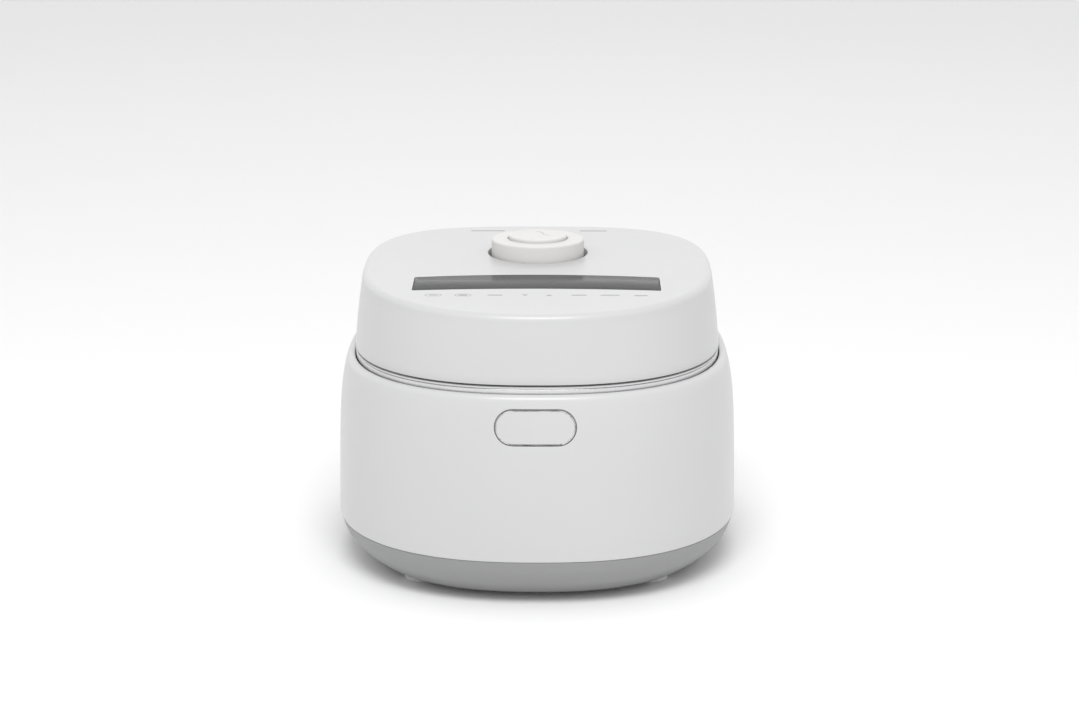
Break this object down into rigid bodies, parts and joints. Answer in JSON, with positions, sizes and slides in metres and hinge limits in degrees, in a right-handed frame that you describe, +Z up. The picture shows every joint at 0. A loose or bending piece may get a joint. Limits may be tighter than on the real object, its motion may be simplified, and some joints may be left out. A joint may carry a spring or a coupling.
{
  "type": "rice cooker",
  "caption": "Compact induction rice cooker with a deep hinged lid, a lift-out steam cap, a front open button, an inner pot over a coil, and a rear mains socket.",
  "frame": {"origin": "centre of the overall plan box, on the surface the feet stand on", "axes": "+Z up, +Y towards the rear hinge, +X to the right of someone facing the front"},
  "size_m": [0.2312, 0.2528, 0.1776],
  "materials": {
    "white_plastic": "smooth semi-gloss white moulding",
    "warm_white_plastic": "smooth semi-gloss warm white moulding",
    "grey_plastic": "fine satin grey moulding",
    "dark_plastic": "plain dark moulding",
    "display_window": "smoked acrylic window",
    "foot_rubber": "pale grey rubber",
    "seal_rubber": "dark silicone",
    "satin_ring": "satin metal band",
    "steel": "plain steel",
    "aluminium": "plain aluminium",
    "pot_coating": "dark non-stick coating",
    "coil_winding": "enamelled copper winding",
    "ferrite": "sintered ferrite",
    "board": "green circuit board"
  },
  "bodies": {
    "body": {"body_shell": "white_plastic", "base_cover": "grey_plastic", "rim_ring": "satin_ring", "upper_frame": "white_plastic", "pot_housing": "dark_plastic", "inner_pot": "pot_coating", "foot_front_left": "foot_rubber", "foot_front_right": "foot_rubber", "foot_rear_left": "foot_rubber", "foot_rear_right": "foot_rubber", "base_screw_front_left": "steel", "base_screw_front_right": "steel", "base_screw_rear_left": "steel", "base_screw_rear_right": "steel", "ferrite_bar_1": "ferrite", "ferrite_bar_2": "ferrite", "ferrite_bar_3": "ferrite", "ferrite_bar_4": "ferrite", "induction_coil": "coil_winding", "coil_holder": "dark_plastic", "sensor_spring": "steel", "fan_frame": "dark_plastic", "power_board": "board", "heat_sink": "aluminium", "filter_capacitor": "dark_plastic", "mains_inlet": "dark_plastic", "inlet_contact_left": "steel", "inlet_contact_right": "steel", "latch_bracket": "steel", "latch_pin": "steel", "latch_spring": "steel", "hinge_housing": "white_plastic", "hinge_pin": "steel", "hinge_spring_left": "steel", "hinge_spring_right": "steel", "hinge_screw_left": "steel", "hinge_screw_right": "steel"},
    "lid": {"lid_cover": "white_plastic", "lid_frame": "white_plastic", "lid_catch": "steel", "inner_lid": "aluminium", "inner_lid_gasket": "seal_rubber", "display_window": "display_window", "display_panel": "dark_plastic", "display_board": "board", "steam_tube": "warm_white_plastic", "steam_packing": "seal_rubber"},
    "steam_vent": {"steam_cap": "warm_white_plastic", "steam_cap_disc": "warm_white_plastic", "steam_cap_base": "warm_white_plastic", "steam_gasket": "seal_rubber"},
    "button": {"open_button": "white_plastic", "button_spring_left": "steel", "button_spring_right": "steel"},
    "latch": {"latch_hook": "steel"},
    "sensor": {"temperature_sensor": "aluminium"},
    "fan": {"fan_rotor": "dark_plastic"}
  },
  "joints": [
    {"name": "lid_hinge", "type": "hinge", "parent": "body", "child": "lid", "pos_m": [0, 0.114, 0.127], "axis": [-1, 0, 0], "range_deg": [0, 88]},
    {"name": "steam_cap_lift", "type": "slide", "parent": "lid", "child": "steam_vent", "axis": [0, 0, 1], "range_m": [0, 0.04]},
    {"name": "open_button_push", "type": "slide", "parent": "body", "child": "button", "axis": [0, 1, 0], "range_m": [0, 0.0025], "stiffness_N_per_m": 400, "springref_m": -0.002},
    {"name": "latch_pivot", "type": "hinge", "parent": "body", "child": "latch", "pos_m": [0, -0.105, 0.1105], "axis": [1, 0, 0], "range_deg": [0, 12]},
    {"name": "sensor_plunge", "type": "slide", "parent": "body", "child": "sensor", "axis": [0, 0, 1], "range_m": [-0.003, 0], "stiffness_N_per_m": 400, "springref_m": 0.003, "deforming": ["sensor_spring"]},
    {"name": "fan_spin", "type": "hinge", "parent": "body", "child": "fan", "pos_m": [0.048, -0.046, 0.013], "axis": [0, 0, 1], "continuous": true}
  ],
  "couplings": [
    {"joint": "latch_pivot", "follows": "open_button_push", "rad_per_m": 83.3}
  ]
}
